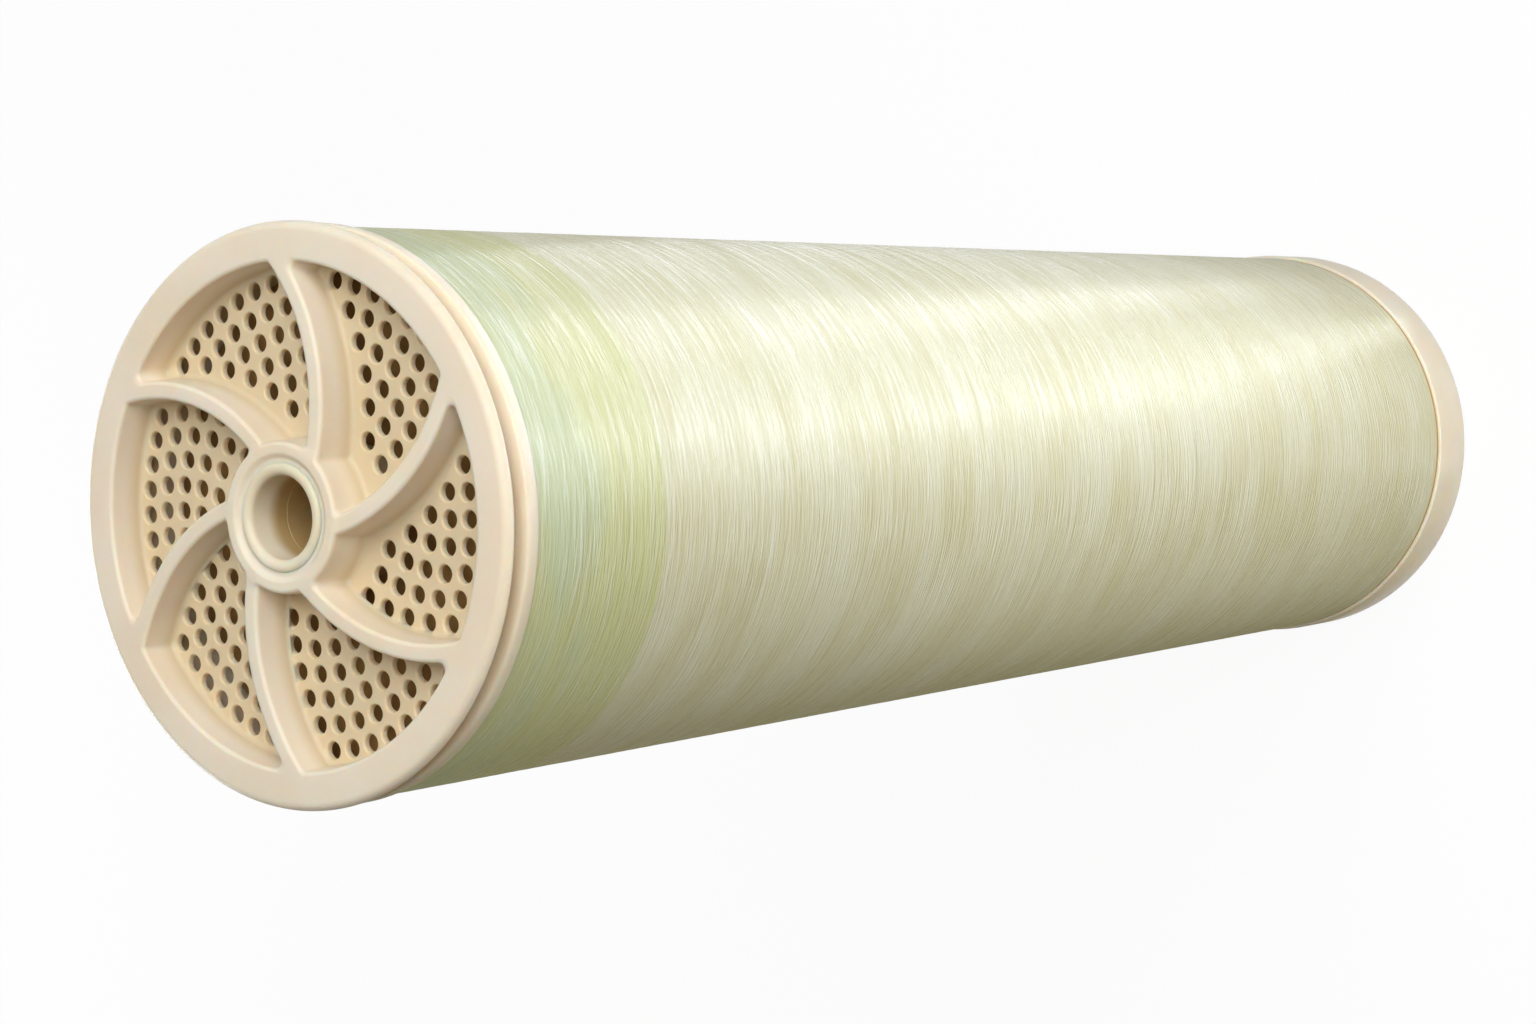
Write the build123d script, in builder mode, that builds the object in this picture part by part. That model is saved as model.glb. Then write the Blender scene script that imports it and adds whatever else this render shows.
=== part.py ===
from build123d import *
import os
from math import acos, atan2, cos, degrees, pi, radians, sin, sqrt

# Spiral-wound reverse osmosis membrane element of the 8-inch size, standing on its brine end.
# Millimetres. +Z runs along the permeate tube to the feed end, and the origin is the middle of the foot.
# The flange diameter and the tube diameter drive the rest: other radii step in or out from these two.

# Whole element, measured from rim to rim: the feed hub stands a little proud
element_length = 762.0
flange_diameter = 201.0
hub_rise = 2.5

# Permeate tube: the lip at each end shows in the hub
tube_diameter = 36.0
tube_wall = 3.7
tube_end_inset = 0.8
tube_lip_break = 1.0
tube_fit = 0.1
permeate_hole_diameter = 4.0
permeate_drillings = 2
permeate_end_margin = 60.0

# Membrane roll: leaves, spacers and carriers wound tight round the tube
roll_fit = 0.1

# Fibreglass shell, wound over the roll and over the skirts of both caps
shell_inset = 1.5
shell_wall = 3.0
shell_fit = 0.1

# Outer rim of the feed cap: flange with a front edge rounded in two flats, empty seal groove, second flange
flange_round = 2.4
feed_flange_width = 3.6
seal_groove_width = 7.2
seal_groove_depth = 6.25
back_flange_width = 5.8
back_flange_inset = 0.5

# Outer rim of the brine cap: one plain band
brine_band_width = 32.0
foot_break = 2.0

# What the two caps share
edge_break = 0.6
skirt_length = 20.0
skirt_wall = 6.9
rim_width = 13.7
hub_wall = 8.1
hub_rim_width = 5.1
hub_recess_depth = 1.5
hub_corner_round = 2.5
rim_corner_round = 5.0

# Perforated plate of the feed cap, with pockets in front and a plenum behind
plate_depth = 13.0
plate_thickness = 2.5
sleeve_wall = 6.0

# Curved spokes: each middle line is an arc that would pass the axis at a small distance
spoke_count = 6
spoke_width = 6.0
spoke_arc_radius = 76.2
spoke_axis_miss = 5.8
spoke_arc_bearing = 146.7

# Flow holes of the plate, in rings that gain one hole per sector going outwards
hole_diameter = 6.2
hole_sides = 6
hole_hub_gap = 11.2
hole_rim_gap = 5.7
hole_ring_pitch = 8.75
inner_ring_holes = 3
lead_gap_at_hub = 6.2
lead_gap_at_rim = 10.7
trail_gap_at_hub = 13.4
trail_gap_at_rim = 10.7

# Worked out from the sizes above
flange_radius = flange_diameter / 2
flange_shoulder = flange_round * (1 - sqrt(0.5))
back_flange_radius = flange_radius - back_flange_inset
seal_groove_radius = flange_radius - seal_groove_depth
pocket_radius = flange_radius - rim_width
shell_radius = flange_radius - shell_inset
shell_inner_radius = shell_radius - shell_wall
skirt_radius = shell_inner_radius - shell_fit
plenum_radius = skirt_radius - skirt_wall
roll_radius = shell_inner_radius - shell_fit
tube_radius = tube_diameter / 2
tube_bore_radius = tube_radius - tube_wall
hub_bore_radius = tube_radius + tube_fit
hub_radius = tube_radius + hub_wall
hub_recess_radius = hub_radius - hub_rim_width
sleeve_radius = hub_bore_radius + sleeve_wall
sector_angle = 360 / spoke_count
spoke_arc_offset = spoke_arc_radius - spoke_axis_miss
hole_corner = sqrt(2 * pi / (hole_sides * sin(2 * pi / hole_sides)))
hole_radius = hole_corner * hole_diameter / 2
permeate_hole_radius = hole_corner * permeate_hole_diameter / 2
inner_ring_radius = hub_radius + hole_hub_gap
outer_ring_radius = pocket_radius - hole_rim_gap
ring_steps = round((outer_ring_radius - inner_ring_radius) / hole_ring_pitch)
seal_groove_back = feed_flange_width + seal_groove_width
feed_head_depth = seal_groove_back + back_flange_width
feed_cap_depth = feed_head_depth + skirt_length
brine_cap_depth = brine_band_width + skirt_length
plate_back = plate_depth + plate_thickness
shell_foot = brine_band_width
shell_top = element_length - feed_head_depth
roll_foot = brine_cap_depth + roll_fit
roll_top = element_length - feed_cap_depth - roll_fit
feed_front = Plane(origin=(0, 0, element_length), x_dir=(1, 0, 0), z_dir=(0, 0, 1))
brine_front = Plane(origin=(0, 0, 0), x_dir=(1, 0, 0), z_dir=(0, 0, -1))

spoke_centre = (
    spoke_arc_offset * cos(radians(spoke_arc_bearing)),
    spoke_arc_offset * sin(radians(spoke_arc_bearing)),
)

os.makedirs("parts", exist_ok=True)


def arc_direction(radius_from_axis):
    """Direction, seen from the arc's centre, of the spoke's point at a given distance from the axis."""
    cosine = spoke_arc_radius**2 + spoke_arc_offset**2 - radius_from_axis**2
    opening = acos(cosine / (2 * spoke_arc_radius * spoke_arc_offset))
    return spoke_arc_bearing + 180 + degrees(opening)


def spoke_bearing(radius_from_axis):
    """Angle round the axis of the first spoke's middle line at a given distance from the axis."""
    direction = radians(arc_direction(radius_from_axis))
    x = spoke_centre[0] + spoke_arc_radius * cos(direction)
    y = spoke_centre[1] + spoke_arc_radius * sin(direction)
    return degrees(atan2(y, x))


def hole_places():
    """Places of one sector's flow holes: ring by ring, evenly spaced from one spoke to the next."""
    places = []
    for ring in range(ring_steps + 1):
        share = ring / ring_steps
        radius = inner_ring_radius + share * (outer_ring_radius - inner_ring_radius)
        lead_gap = lead_gap_at_hub + share * (lead_gap_at_rim - lead_gap_at_hub)
        trail_gap = trail_gap_at_hub + share * (trail_gap_at_rim - trail_gap_at_hub)
        first = spoke_bearing(radius) + degrees(lead_gap / radius)
        last = spoke_bearing(radius) + sector_angle - degrees(trail_gap / radius)
        count = inner_ring_holes + ring
        for index in range(count):
            angle = first + (last - first) * index / (count - 1)
            places.append(Location((radius * cos(radians(angle)), radius * sin(radians(angle)), 0)))
    return places


# Middle line of one spoke, run on into the hub and the rim
spoke_start = arc_direction(hub_radius - spoke_width)
spoke_end = arc_direction(pocket_radius + spoke_width)
with BuildLine() as spoke_line:
    CenterArc(spoke_centre, spoke_arc_radius, spoke_start, spoke_end - spoke_start)

# The six spaces between the hub, the spokes and the rim
with BuildSketch() as openings:
    Circle(pocket_radius)
    Circle(hub_radius, mode=Mode.SUBTRACT)
    with PolarLocations(0, spoke_count):
        SlotArc(spoke_line.wire(), spoke_width, mode=Mode.SUBTRACT)
    fillet(openings.vertices().group_by(SortBy.DISTANCE, tol_digits=3)[0], hub_corner_round)
    fillet(openings.vertices().group_by(SortBy.DISTANCE, tol_digits=3)[-1], rim_corner_round)


def section_plane(front):
    """Half section of a cap: X outwards from the axis, Y out of the cap's front."""
    return Plane(origin=front.origin, x_dir=front.x_dir, z_dir=-front.y_dir)


# Feed end cap: rim with its seal groove, hub, spokes, perforated plate and skirt in one moulding
with BuildPart() as feed_end_cap:
    with BuildSketch(section_plane(feed_front)):
        with BuildLine():
            Polyline(
                (flange_radius, -flange_round),
                (flange_radius, edge_break - feed_flange_width),
                (flange_radius - edge_break, -feed_flange_width),
                (seal_groove_radius, -feed_flange_width),
                (seal_groove_radius, -seal_groove_back),
                (back_flange_radius - edge_break, -seal_groove_back),
                (back_flange_radius, -seal_groove_back - edge_break),
                (back_flange_radius, edge_break - feed_head_depth),
                (back_flange_radius - edge_break, -feed_head_depth),
                (skirt_radius, -feed_head_depth),
                (skirt_radius, -feed_cap_depth),
                (plenum_radius, -feed_cap_depth),
                (plenum_radius, -plate_back),
                (sleeve_radius, -plate_back),
                (sleeve_radius, -feed_cap_depth),
                (hub_bore_radius, -feed_cap_depth),
                (hub_bore_radius, hub_rise - hub_recess_depth),
                (hub_recess_radius, hub_rise - hub_recess_depth),
                (hub_recess_radius, hub_rise),
                (hub_radius - edge_break, hub_rise),
                (hub_radius, hub_rise - edge_break),
                (hub_radius, 0),
                (flange_radius - flange_round, 0),
                (flange_radius - flange_shoulder, -flange_shoulder),
                close=True,
            )
        make_face()
    revolve(axis=Axis.Z)
    with BuildSketch(feed_front):
        add(openings.sketch)
    extrude(amount=-plate_depth, mode=Mode.SUBTRACT)
    with BuildSketch(feed_front.offset(-plate_depth)):
        with PolarLocations(0, spoke_count):
            with Locations(*hole_places()):
                RegularPolygon(hole_radius, hole_sides)
    extrude(amount=-plate_thickness, mode=Mode.SUBTRACT, clean=False)
feed_end_cap.part.label = "feed_end_cap"
export_step(feed_end_cap.part, "parts/feed_end_cap.step")

# Brine end cap: plain band, hub and skirt, with open spokes that hold the roll's end
with BuildPart() as brine_end_cap:
    with BuildSketch(section_plane(brine_front)):
        with BuildLine():
            Polyline(
                (flange_radius - foot_break, 0),
                (flange_radius, -foot_break),
                (flange_radius, edge_break - brine_band_width),
                (flange_radius - edge_break, -brine_band_width),
                (skirt_radius, -brine_band_width),
                (skirt_radius, -brine_cap_depth),
                (hub_bore_radius, -brine_cap_depth),
                (hub_bore_radius, -hub_recess_depth),
                (hub_recess_radius, -hub_recess_depth),
                (hub_recess_radius, 0),
                close=True,
            )
        make_face()
    revolve(axis=Axis.Z)
    with BuildSketch(brine_front):
        add(openings.sketch)
    extrude(amount=-brine_cap_depth, mode=Mode.SUBTRACT)
brine_end_cap.part.label = "brine_end_cap"
export_step(brine_end_cap.part, "parts/brine_end_cap.step")

# Permeate tube: plain ends seated in both hubs, drilled across inside the roll
tube_foot = tube_end_inset
tube_top = element_length + hub_rise - tube_end_inset
with BuildPart() as permeate_tube:
    with BuildSketch(Plane.XZ):
        with BuildLine():
            Polyline(
                (tube_bore_radius + tube_lip_break, tube_foot),
                (tube_radius - tube_lip_break, tube_foot),
                (tube_radius, tube_foot + tube_lip_break),
                (tube_radius, tube_top - tube_lip_break),
                (tube_radius - tube_lip_break, tube_top),
                (tube_bore_radius + tube_lip_break, tube_top),
                (tube_bore_radius, tube_top - tube_lip_break),
                (tube_bore_radius, tube_foot + tube_lip_break),
                close=True,
            )
        make_face()
    revolve(axis=Axis.Z)
    first_drilling = roll_foot + permeate_end_margin
    drilling_step = (roll_top - roll_foot - 2 * permeate_end_margin) / (permeate_drillings - 1)
    for index in range(permeate_drillings):
        across = Plane.YZ if index % 2 else Plane.XZ
        with BuildSketch(across):
            with Locations((0, first_drilling + index * drilling_step)):
                RegularPolygon(permeate_hole_radius, hole_sides)
        extrude(amount=tube_radius, both=True, mode=Mode.SUBTRACT)
permeate_tube.part.label = "permeate_tube"
export_step(permeate_tube.part, "parts/permeate_tube.step")

# Membrane roll: all its turns as one solid round the tube
with BuildPart() as membrane_roll:
    with BuildSketch(Plane.XY.offset(roll_foot)):
        Circle(roll_radius)
        Circle(tube_radius + tube_fit, mode=Mode.SUBTRACT)
    extrude(amount=roll_top - roll_foot)
membrane_roll.part.label = "membrane_roll"
export_step(membrane_roll.part, "parts/membrane_roll.step")

# Fibreglass shell: filament-wound tube between the two rims
with BuildPart() as fibreglass_shell:
    with BuildSketch(Plane.XY.offset(shell_foot)):
        Circle(shell_radius)
        Circle(shell_inner_radius, mode=Mode.SUBTRACT)
    extrude(amount=shell_top - shell_foot)
fibreglass_shell.part.label = "fibreglass_shell"
export_step(fibreglass_shell.part, "parts/fibreglass_shell.step")
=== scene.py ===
# %% [markdown]
# A spiral-wound membrane element is a long fibreglass tube with a moulded cap at each end. The CAD solids
# arrive as a fixed frame in metres, standing on the brine end with the feed face on top. This lesson
# dresses that frame: it keeps each size that the solids give, and models the soft moulded edges, the
# round flow holes and the wound glass that a plain solid can't show.

from math import acos, atan2, cos, degrees, pi, radians, sin, sqrt, tan

import bmesh
import bpy
from mathutils import Matrix, Vector


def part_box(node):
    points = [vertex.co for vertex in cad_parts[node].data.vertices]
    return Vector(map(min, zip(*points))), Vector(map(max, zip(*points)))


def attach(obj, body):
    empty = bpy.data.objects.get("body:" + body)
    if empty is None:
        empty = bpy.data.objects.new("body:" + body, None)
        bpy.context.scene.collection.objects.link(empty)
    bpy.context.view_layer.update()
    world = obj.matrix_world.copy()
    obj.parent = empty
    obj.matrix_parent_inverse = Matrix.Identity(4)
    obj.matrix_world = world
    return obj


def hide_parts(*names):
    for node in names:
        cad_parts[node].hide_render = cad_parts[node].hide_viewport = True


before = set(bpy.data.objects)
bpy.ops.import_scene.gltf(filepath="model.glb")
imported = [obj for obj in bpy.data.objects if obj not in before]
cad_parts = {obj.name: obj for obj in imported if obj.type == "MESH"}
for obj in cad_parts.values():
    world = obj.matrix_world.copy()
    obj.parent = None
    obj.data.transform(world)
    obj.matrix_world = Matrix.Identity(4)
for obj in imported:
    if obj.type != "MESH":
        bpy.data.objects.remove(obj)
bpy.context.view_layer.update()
mm = 0.001

# %% [markdown]
# Every radius and height starts from the solids, so a new pack moves this model with it. The rim of the
# feed cap is the plane that the face is measured from: the hub stands a little proud of it, and the
# perforated plate lies below it.

# %% Sizes read from the solids
cap_low, cap_high = (Vector(corner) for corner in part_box("feed_end_cap"))
tube_low, tube_high = (Vector(corner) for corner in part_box("permeate_tube"))
shell_low, shell_high = (Vector(corner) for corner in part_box("fibreglass_shell"))
brine_low, brine_high = (Vector(corner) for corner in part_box("brine_end_cap"))

hub_rise = 2.5 * mm
flange_radius = cap_high.x
tube_radius = tube_high.x
shell_radius = shell_high.x
rim_height = cap_high.z - hub_rise
print("flange radius %.4f, rim at %.4f, shell radius %.4f" % (flange_radius, rim_height, shell_radius))

# %% [markdown]
# The feed cap is one injection moulding, so the model is one closed mesh too. It could be cut from a
# blank with many Booleans, but then each soft edge would need a bevel of its own. Here it is drawn from
# outlines instead: profiles that are spun round the axis, and pockets that are extruded ring by ring.
# Six spokes swirl from the hub to the rim, and the middle line of each is one arc about a centre beside
# the axis.

# %% Middle lines of the spokes
spoke_count = 6
sector = 2 * pi / spoke_count
spoke_half_width = 3.2 * mm
spoke_arc_radius = 76.2 * mm
spoke_arc_offset = 70.4 * mm
spoke_arc_bearing = radians(146.7)
pocket_radius = flange_radius - 13.7 * mm
hub_radius = tube_radius + 8.1 * mm


def arc_centre(spoke):
    """Centre of the arc that a spoke follows."""
    bearing = spoke_arc_bearing + spoke * sector
    return Vector((cos(bearing), sin(bearing))) * spoke_arc_offset


def spoke_bearing(spoke, radius):
    """Angle round the axis of a spoke's middle line at a distance from the axis."""
    squares = spoke_arc_radius**2 + spoke_arc_offset**2 - radius**2
    swing = acos(squares / (2 * spoke_arc_radius * spoke_arc_offset))
    direction = spoke_arc_bearing + spoke * sector + pi + swing
    point = arc_centre(spoke) + Vector((cos(direction), sin(direction))) * spoke_arc_radius
    return atan2(point.y, point.x)


for place, radius in (("hub", hub_radius), ("rim", pocket_radius)):
    print("first spoke at the %s: %.1f degrees" % (place, degrees(spoke_bearing(0, radius))))

# %% [markdown]
# A pocket between two spokes is bounded by four arcs: two spokes, the rim and the hub. Each corner gets a
# small arc that touches its two neighbours. Its centre is found where two circles cross, each grown or
# shrunk by the corner's radius, which is exact where a bevel of a polygon would only come near. The same
# outline at another inset gives the next ring down the drafted wall.

# %% Circles and arcs
def polar(radius, bearing):
    """A point in the plane from its distance and its angle."""
    return Vector((radius * cos(bearing), radius * sin(bearing)))


def circle_crossing(centre_a, reach_a, centre_b, reach_b, near):
    """The crossing of two circles that lies nearest to a point."""
    span = centre_b - centre_a
    along = (reach_a**2 - reach_b**2 + span.length_squared) / (2 * span.length)
    across = sqrt(max(0, reach_a**2 - along**2))
    foot = centre_a + span.normalized() * along
    side = Vector((-span.y, span.x)).normalized() * across
    return min((foot + side, foot - side), key=lambda point: (point - near).length)


def arc_points(centre, start, end, count):
    """Points of the shorter arc from start towards end, without the end itself."""
    first = atan2(start.y - centre.y, start.x - centre.x)
    turn = atan2(end.y - centre.y, end.x - centre.x) - first
    turn = (turn + pi) % (2 * pi) - pi
    radius = (start - centre).length
    angles = [first + turn * step / count for step in range(count)]
    return [centre + Vector((cos(angle), sin(angle))) * radius for angle in angles]


def touch(centre, reach, corner):
    """Where a circle is touched by an arc whose centre is the corner."""
    return centre + (corner - centre).normalized() * reach


axis_point = Vector((0, 0))
print("the rim is touched at", touch(axis_point, pocket_radius, polar(hub_radius, 0)))

# %% Outline of a pocket
long_arc_steps = 26
hub_arc_steps = 10
corner_steps = 6
feed_rim_corner = 2.6 * mm
feed_hub_corner = 2.2 * mm


def pocket_outline(spoke, inset, rim_corner, hub_corner):
    """One closed ring of points between a spoke and the next, moved inwards by the inset."""
    next_spoke = spoke + 1
    rim_reach = pocket_radius - inset
    hub_reach = hub_radius + inset
    here = (arc_centre(spoke), spoke_arc_radius - spoke_half_width - inset, -1)
    there = (arc_centre(next_spoke), spoke_arc_radius + spoke_half_width + inset, 1)
    corners = []
    for (centre, reach, way), number in ((here, spoke), (there, next_spoke)):
        rim_near = polar(pocket_radius, spoke_bearing(number, pocket_radius))
        hub_near = polar(hub_radius, spoke_bearing(number, hub_radius))
        rim = circle_crossing(axis_point, rim_reach - rim_corner, centre, reach + way * rim_corner, rim_near)
        hub = circle_crossing(axis_point, hub_reach + hub_corner, centre, reach + way * hub_corner, hub_near)
        corners.append((rim, hub))

    (rim_a, hub_a), (rim_b, hub_b) = corners
    spoke_a_hub, spoke_a_rim = touch(here[0], here[1], hub_a), touch(here[0], here[1], rim_a)
    spoke_b_hub, spoke_b_rim = touch(there[0], there[1], hub_b), touch(there[0], there[1], rim_b)
    rim_start, rim_end = touch(axis_point, rim_reach, rim_a), touch(axis_point, rim_reach, rim_b)
    hub_start, hub_end = touch(axis_point, hub_reach, hub_a), touch(axis_point, hub_reach, hub_b)
    ring = arc_points(here[0], spoke_a_hub, spoke_a_rim, long_arc_steps)
    ring += arc_points(rim_a, spoke_a_rim, rim_start, corner_steps)
    ring += arc_points(axis_point, rim_start, rim_end, long_arc_steps)
    ring += arc_points(rim_b, rim_end, spoke_b_rim, corner_steps)
    ring += arc_points(there[0], spoke_b_rim, spoke_b_hub, long_arc_steps)
    ring += arc_points(hub_b, spoke_b_hub, hub_end, corner_steps)
    ring += arc_points(axis_point, hub_end, hub_start, hub_arc_steps)
    ring += arc_points(hub_a, hub_start, spoke_a_hub, corner_steps)
    return ring


print("pocket outline has %d points" % len(pocket_outline(0, 0, feed_rim_corner, feed_hub_corner)))

# %% [markdown]
# A pocket is a stack of such rings: a rounded lip on the front, a wall with a few degrees of draft so
# that the moulding leaves its tool, and a soft fillet where the wall meets the plate. Each storey is an
# extrusion of the last ring of edges, with its new vertices moved to the next outline. That keeps the
# rounding even, also where a bevel would run into the hub.

# %% Rings of a pocket
lip_round = 1.4 * mm
base_round = 1.8 * mm
round_steps = 4
wall_draft = radians(4)
plate_depth = 13 * mm
plate_thickness = 2.5 * mm
plate_height = rim_height - plate_depth
plate_back = plate_height - plate_thickness


def quarter_turns(steps):
    """Even angles from nothing to a right angle."""
    return [radians(90) * step / steps for step in range(steps + 1)]


def pocket_rings():
    """(inset, height) of each ring of a feed pocket, from the front face down to the plate."""
    rings = []
    for turn in quarter_turns(round_steps):
        rings.append((lip_round * (sin(turn) - 1), rim_height - lip_round * (1 - cos(turn))))
    wall_foot = tan(wall_draft) * (plate_depth - lip_round - base_round)
    for turn in quarter_turns(round_steps):
        rings.append((wall_foot + base_round * (1 - cos(turn)), plate_height + base_round * (1 - sin(turn))))
    return rings


print("a pocket has %d rings, and its floor is at %.4f" % (len(pocket_rings()), plate_height))

# %% Extrude a pocket through its rings
def draw_ring(mould, outline, height):
    """A closed ring of edges in a level plane."""
    ring = [mould.verts.new((point.x, point.y, height)) for point in outline]
    return ring, [mould.edges.new((ring[number - 1], ring[number])) for number in range(len(ring))]


def draw_out(mould, edges, index, places):
    """Extrudes a ring of edges and moves each new vertex to the place that has its number."""
    grown = bmesh.ops.extrude_edge_only(mould, edges=edges)["geom"]
    fresh = {item for item in grown if isinstance(item, bmesh.types.BMVert)}
    new_index = {}
    for vertex in fresh:
        for edge in vertex.link_edges:
            source = edge.other_vert(vertex)
            if source not in fresh:
                new_index[vertex] = index[source]
                vertex.co = places[index[source]]
    new_edges = [
        item
        for item in grown
        if isinstance(item, bmesh.types.BMEdge) and fresh.issuperset(item.verts)
    ]
    return new_edges, new_index


def sink_pocket(mould, spoke, rings, rim_corner, hub_corner):
    """Extrudes one pocket through its rings and returns the edges of its last ring."""
    inset, height = rings[0]
    outline = pocket_outline(spoke, inset, rim_corner, hub_corner)
    ring, edges = draw_ring(mould, outline, height)
    index = {vertex: number for number, vertex in enumerate(ring)}
    for inset, height in rings[1:]:
        outline = pocket_outline(spoke, inset, rim_corner, hub_corner)
        places = [(point.x, point.y, height) for point in outline]
        edges, index = draw_out(mould, edges, index, places)
    return edges


trial = bmesh.new()
sink_pocket(trial, 0, pocket_rings(), feed_rim_corner, feed_hub_corner)
print("the wall of one pocket has %d faces" % len(trial.faces))
trial.free()

# %% [markdown]
# The plate of each pocket has 33 flow holes in six rings that gain one hole per ring going outwards. In
# the real tool each hole is a core pin with a flared root, which leaves a softened mouth. The model works
# the same way: a Boolean modifier takes one mesh of pins out of the finished cap. The pins are drawn as
# circles and extruded together, because one call on many edges is far quicker than many calls.

# %% Places of the flow holes
hole_ring_count = 6
first_ring_holes = 3
ring_radius = (hub_radius + 11.2 * mm, pocket_radius - 5.7 * mm)
lead_gap = (6.2 * mm, 10.7 * mm)
trail_gap = (13.4 * mm, 10.7 * mm)


def between(ends, share):
    """A value part of the way from the first end to the second."""
    return ends[0] + share * (ends[1] - ends[0])


def hole_places(spoke):
    """Middles of one pocket's flow holes."""
    places = []
    for ring in range(hole_ring_count):
        share = ring / (hole_ring_count - 1)
        radius = between(ring_radius, share)
        bearing = spoke_bearing(spoke, radius)
        first = bearing + between(lead_gap, share) / radius
        last = bearing + sector - between(trail_gap, share) / radius
        count = first_ring_holes + ring
        for number in range(count):
            places.append(polar(radius, first + (last - first) * number / (count - 1)))
    return places


print("a pocket has %d flow holes" % len(hole_places(0)))

# %% Core pins for the holes
hole_radius = 3.1 * mm
hole_mouth = 0.7 * mm
pin_flare = 0.3 * hole_mouth
pin_segments = 16


def core_pins(middles):
    """One mould with a flared pin for every hole, standing a little out of both sides of the plate."""
    pins = bmesh.new()
    levels = (
        (hole_radius + hole_mouth + pin_flare, plate_height + pin_flare),
        (hole_radius + pin_flare, plate_height - pin_flare),
        (hole_radius, plate_height - hole_mouth),
        (hole_radius, plate_back - plate_thickness),
    )
    index = {}
    edges = []
    ways = []
    for middle in middles:
        made = bmesh.ops.create_circle(
            pins,
            cap_ends=True,
            segments=pin_segments,
            radius=levels[0][0],
            matrix=Matrix.Translation((middle.x, middle.y, levels[0][1])),
        )["verts"]
        for vertex in made:
            index[vertex] = len(ways)
            ways.append((middle, (vertex.co.xy - middle).normalized()))
        edges += list({edge for vertex in made for edge in vertex.link_edges})
    for radius, height in levels[1:]:
        places = [(*(middle + way * radius), height) for middle, way in ways]
        edges, index = draw_out(pins, edges, index, places)
    bmesh.ops.holes_fill(pins, edges=edges)
    return pins


trial = core_pins(hole_places(0))
print("the pins of one pocket have %d faces" % len(trial.faces))
trial.free()

# %% [markdown]
# Outside, the cap has a thin rounded flange, an empty groove for the brine seal, a second flange and a
# skirt that the fibreglass grips. A lathe would turn such a form, so it is a section that is spun once
# round the axis. The rounded edges are points of the section, which costs nothing more to spin.

# %% Section of the feed cap's outside
flange_round = 3.0 * mm
flange_round_steps = 8
flange_width = 3.6 * mm
groove_width = 7.2 * mm
groove_depth = 6.25 * mm
back_flange_width = 5.8 * mm
back_flange_inset = 0.5 * mm
back_flange_round = 1.2 * mm
edge_round_steps = 5
small_round = 0.4 * mm
small_round_steps = 3
skirt_radius = shell_radius - 3.1 * mm
skirt_wall = 6.9 * mm
head_depth = flange_width + groove_width + back_flange_width


def rounded(centre, radius, start, end, steps):
    """Points of a quarter-round in a profile, from one angle to another in degrees."""
    turns = [radians(start + (end - start) * step / steps) for step in range(steps + 1)]
    return [(centre[0] + radius * cos(turn), centre[1] + radius * sin(turn)) for turn in turns]


def feed_rim_profile():
    """From the front face's outer border round the flanges and the skirt to the back of the plate."""
    flange_back = rim_height - flange_width
    groove_back = flange_back - groove_width
    head_back = rim_height - head_depth
    groove_radius = flange_radius - groove_depth
    back_inner = flange_radius - back_flange_inset - back_flange_round
    front_middle = (flange_radius - flange_round, rim_height - flange_round)
    small_middle = (flange_radius - small_round, flange_back + small_round)
    upper_middle = (back_inner, groove_back - back_flange_round)
    lower_middle = (back_inner, head_back + back_flange_round)
    profile = rounded(front_middle, flange_round, 90, 0, flange_round_steps)
    profile += rounded(small_middle, small_round, 0, -90, small_round_steps)
    profile += [(groove_radius, flange_back), (groove_radius, groove_back)]
    profile += rounded(upper_middle, back_flange_round, 90, 0, edge_round_steps)
    profile += rounded(lower_middle, back_flange_round, 0, -90, edge_round_steps)
    profile += [(skirt_radius, head_back), (skirt_radius, cap_low.z)]
    profile += [(skirt_radius - skirt_wall, cap_low.z), (skirt_radius - skirt_wall, plate_back)]
    return profile


print("the outside's section has %d points" % len(feed_rim_profile()))

# %% [markdown]
# In the middle, the hub has a flat ring, a shallow recess round the end of the permeate tube, and a
# sleeve that holds the tube. The way down into the recess is a soft slope, eased at both ends as a
# moulded edge is.

# %% Section of the feed cap's hub
tube_clearance = 0.1 * mm
hub_bore = tube_radius + tube_clearance
recess_radius = hub_radius - 5.1 * mm
recess_depth = 1.5 * mm
recess_slope = 1.3 * mm
recess_steps = 8
sleeve_wall = 6 * mm


def eased(share):
    """A share from nothing to one that starts and ends gently."""
    return share * share * (3 - 2 * share)


def recess_slope_points(face, way):
    """Soft slope from the hub's flat ring into the recess round the tube."""
    points = []
    for step in range(1, recess_steps + 1):
        share = step / recess_steps
        fall = eased(share) * recess_depth
        points.append((recess_radius + recess_slope * (1 - 2 * share), face + way * fall))
    return points


def feed_hub_profile():
    """From the front face's inner border into the recess, down the bore and back up the sleeve."""
    profile = [(recess_radius + recess_slope, rim_height)]
    profile += recess_slope_points(cap_high.z, -1)
    profile += [(hub_bore, cap_high.z - recess_depth), (hub_bore, cap_low.z)]
    profile += [(hub_bore + sleeve_wall, cap_low.z), (hub_bore + sleeve_wall, plate_back)]
    return profile


print("the hub's section has %d points" % len(feed_hub_profile()))

# %% Spin a section
rim_spin_steps = 224
hub_spin_steps = 96


def spin_profile(mould, profile, steps):
    """Turns a chain of (radius, height) points once round the Z axis."""
    chain = [mould.verts.new((radius, 0, height)) for radius, height in profile]
    edges = [mould.edges.new(pair) for pair in zip(chain, chain[1:])]
    bmesh.ops.spin(
        mould,
        geom=chain + edges,
        cent=(0, 0, 0),
        axis=(0, 0, 1),
        angle=2 * pi,
        steps=steps,
        use_merge=True,
    )


trial = bmesh.new()
spin_profile(trial, feed_hub_profile(), hub_spin_steps)
print("the spun hub has %d faces" % len(trial.faces))
trial.free()

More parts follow.
